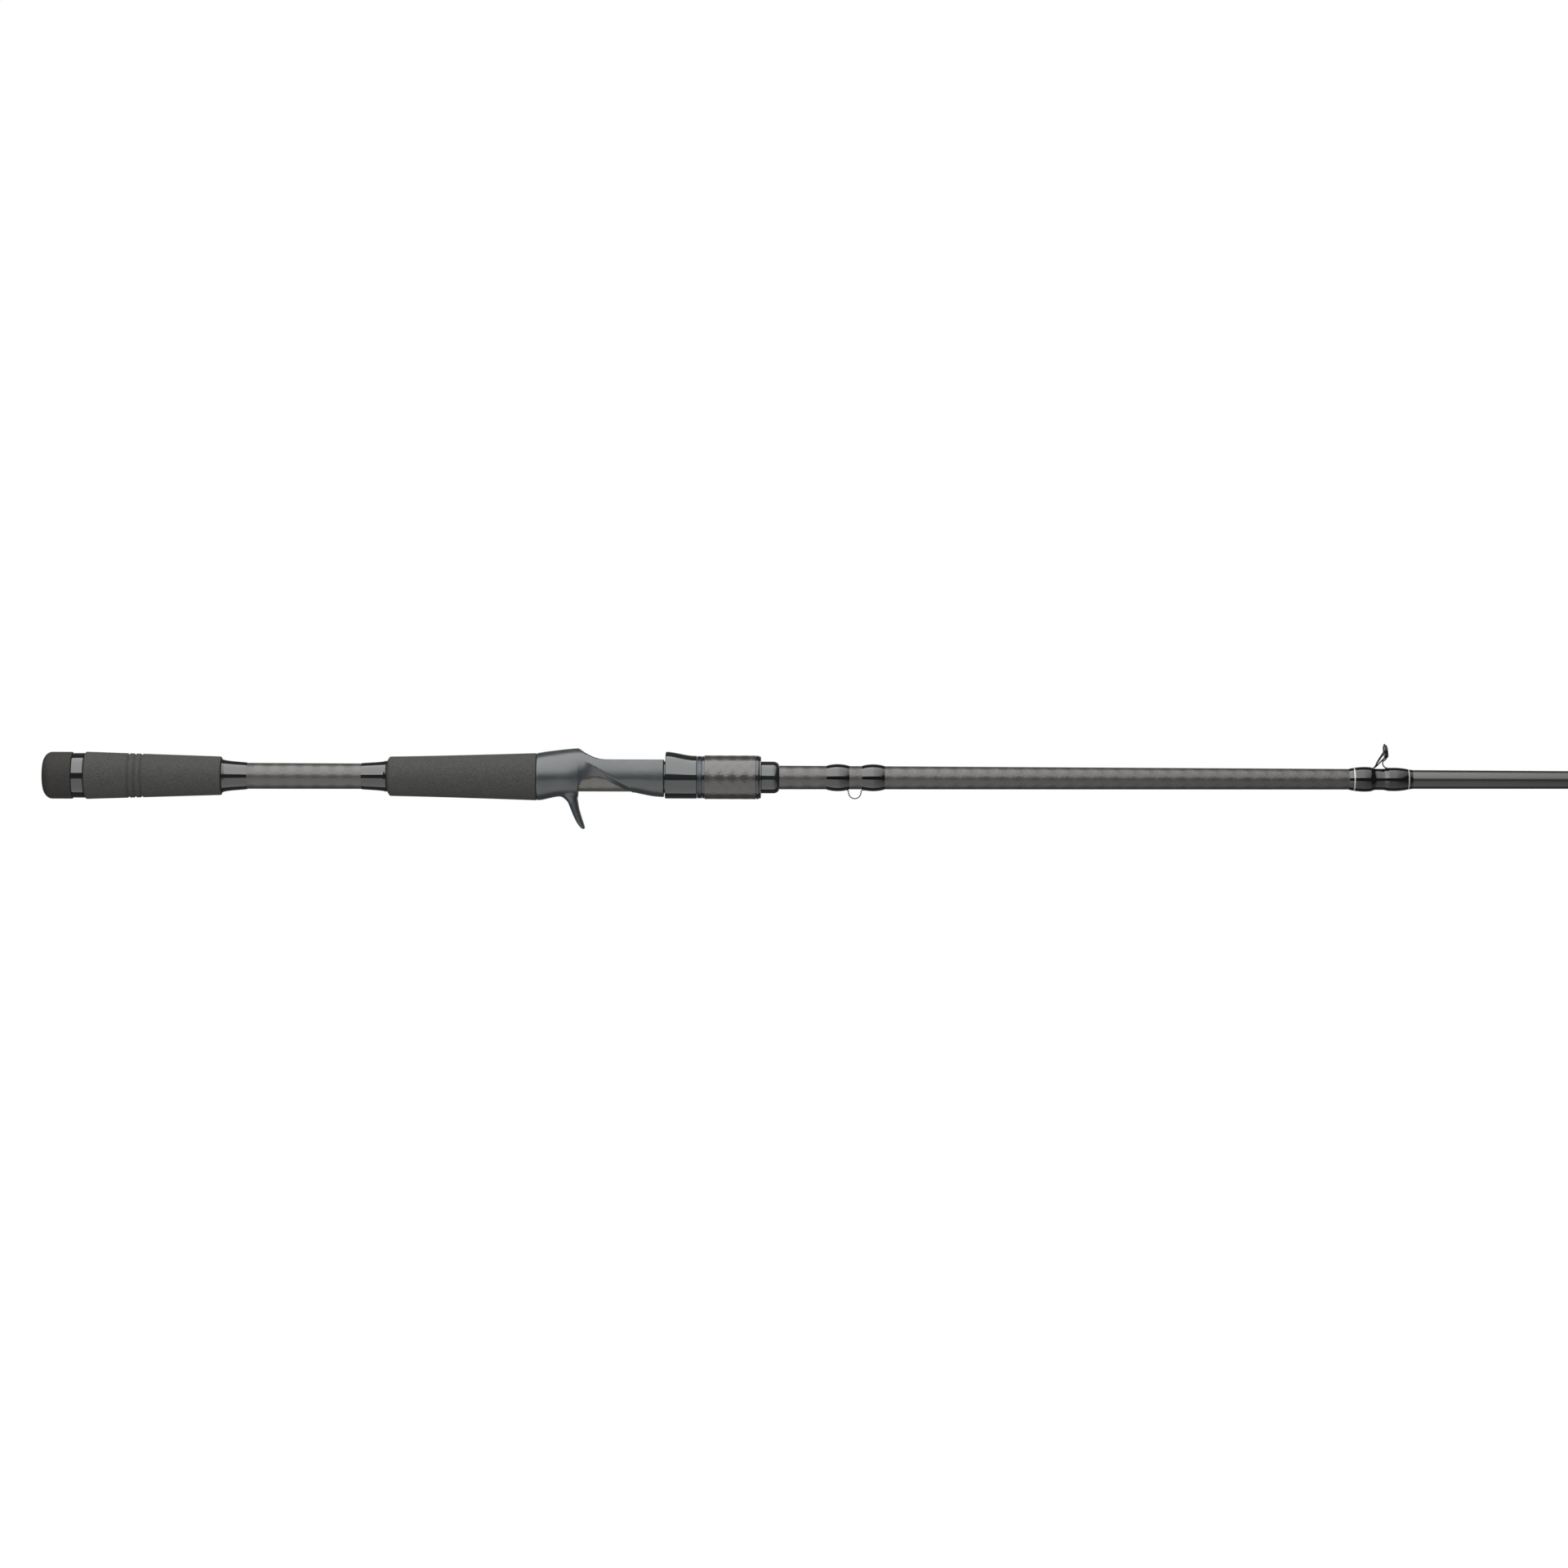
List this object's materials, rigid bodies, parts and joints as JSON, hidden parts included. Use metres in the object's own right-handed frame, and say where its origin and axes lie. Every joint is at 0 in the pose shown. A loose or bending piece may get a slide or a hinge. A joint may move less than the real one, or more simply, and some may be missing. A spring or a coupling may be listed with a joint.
{
  "type": "casting fishing rod",
  "caption": "Casting rod with split foam grips, a trigger reel seat, a sliding reel hood with lock nut, a hook keeper and line guides.",
  "frame": {"origin": "centre of the flat face at the butt end, on the rod axis", "axes": "+X along the rod from butt to tip, +Z through the guides and the reel deck, trigger towards -Z"},
  "size_m": [2.2139, 0.0314, 0.0583],
  "materials": {
    "matt_blank": "satin grey paint over graphite",
    "woven_carbon": "woven carbon under clear coat",
    "foam": "closed-cell EVA foam, ground",
    "gloss_black": "gloss",
    "seat_paint": "satin metallic paint on moulded nylon",
    "dark_steel": "dark polished plating",
    "thread_epoxy": "thread under epoxy",
    "ring_ceramic": "polished",
    "nut_plastic": "moulded",
    "anodised_blue": "anodised"
  },
  "bodies": {
    "rod": {"blank": "matt_blank", "butt_sleeve": "woven_carbon", "butt_cap": "foam", "butt_ring": "gloss_black", "rear_grip": "foam", "rear_grip_trim": "gloss_black", "main_grip_trim": "gloss_black", "main_grip": "foam", "seat_arbor": "woven_carbon", "reel_seat": "seat_paint", "threaded_barrel": "nut_plastic", "front_collar": "gloss_black", "hook_keeper": "dark_steel", "keeper_wrap_rear": "thread_epoxy", "keeper_wrap_front": "thread_epoxy", "tip_tube": "dark_steel", "tip_frame": "dark_steel", "tip_ring": "ring_ceramic", "tip_wrap": "thread_epoxy", "guide_1_frame": "dark_steel", "guide_1_ring": "ring_ceramic", "guide_1_wrap": "thread_epoxy", "guide_2_frame": "dark_steel", "guide_2_ring": "ring_ceramic", "guide_2_wrap": "thread_epoxy", "guide_3_frame": "dark_steel", "guide_3_ring": "ring_ceramic", "guide_3_wrap": "thread_epoxy", "guide_4_frame": "dark_steel", "guide_4_ring": "ring_ceramic", "guide_4_wrap": "thread_epoxy", "guide_5_frame": "dark_steel", "guide_5_ring": "ring_ceramic", "guide_5_wrap": "thread_epoxy", "guide_6_frame": "dark_steel", "guide_6_ring": "ring_ceramic", "guide_6_wrap": "thread_epoxy", "guide_7_frame": "dark_steel", "guide_7_ring": "ring_ceramic", "guide_7_wrap": "thread_epoxy", "guide_8_frame": "dark_steel", "guide_8_ring": "ring_ceramic", "guide_8_wrap": "thread_epoxy", "guide_9_frame": "dark_steel", "guide_9_ring": "ring_ceramic", "guide_9_wrap": "thread_epoxy"},
    "hood": {"moving_hood": "gloss_black", "hood_bush": "nut_plastic"},
    "nut": {"nut_ring": "anodised_blue", "nut_core": "nut_plastic", "nut_sleeve": "woven_carbon", "nut_nose": "gloss_black"}
  },
  "joints": [
    {"name": "hood_slide", "type": "slide", "parent": "rod", "child": "hood", "axis": [1, 0, 0], "range_m": [0, 0.012]},
    {"name": "nut_turn", "type": "hinge", "parent": "hood", "child": "nut", "pos_m": [0.45, 0, 0], "axis": [1, 0, 0], "range_deg": [0, 1728]}
  ],
  "couplings": [
    {"joint": "hood_slide", "follows": "nut_turn", "m_per_rad": 0.00039789}
  ]
}
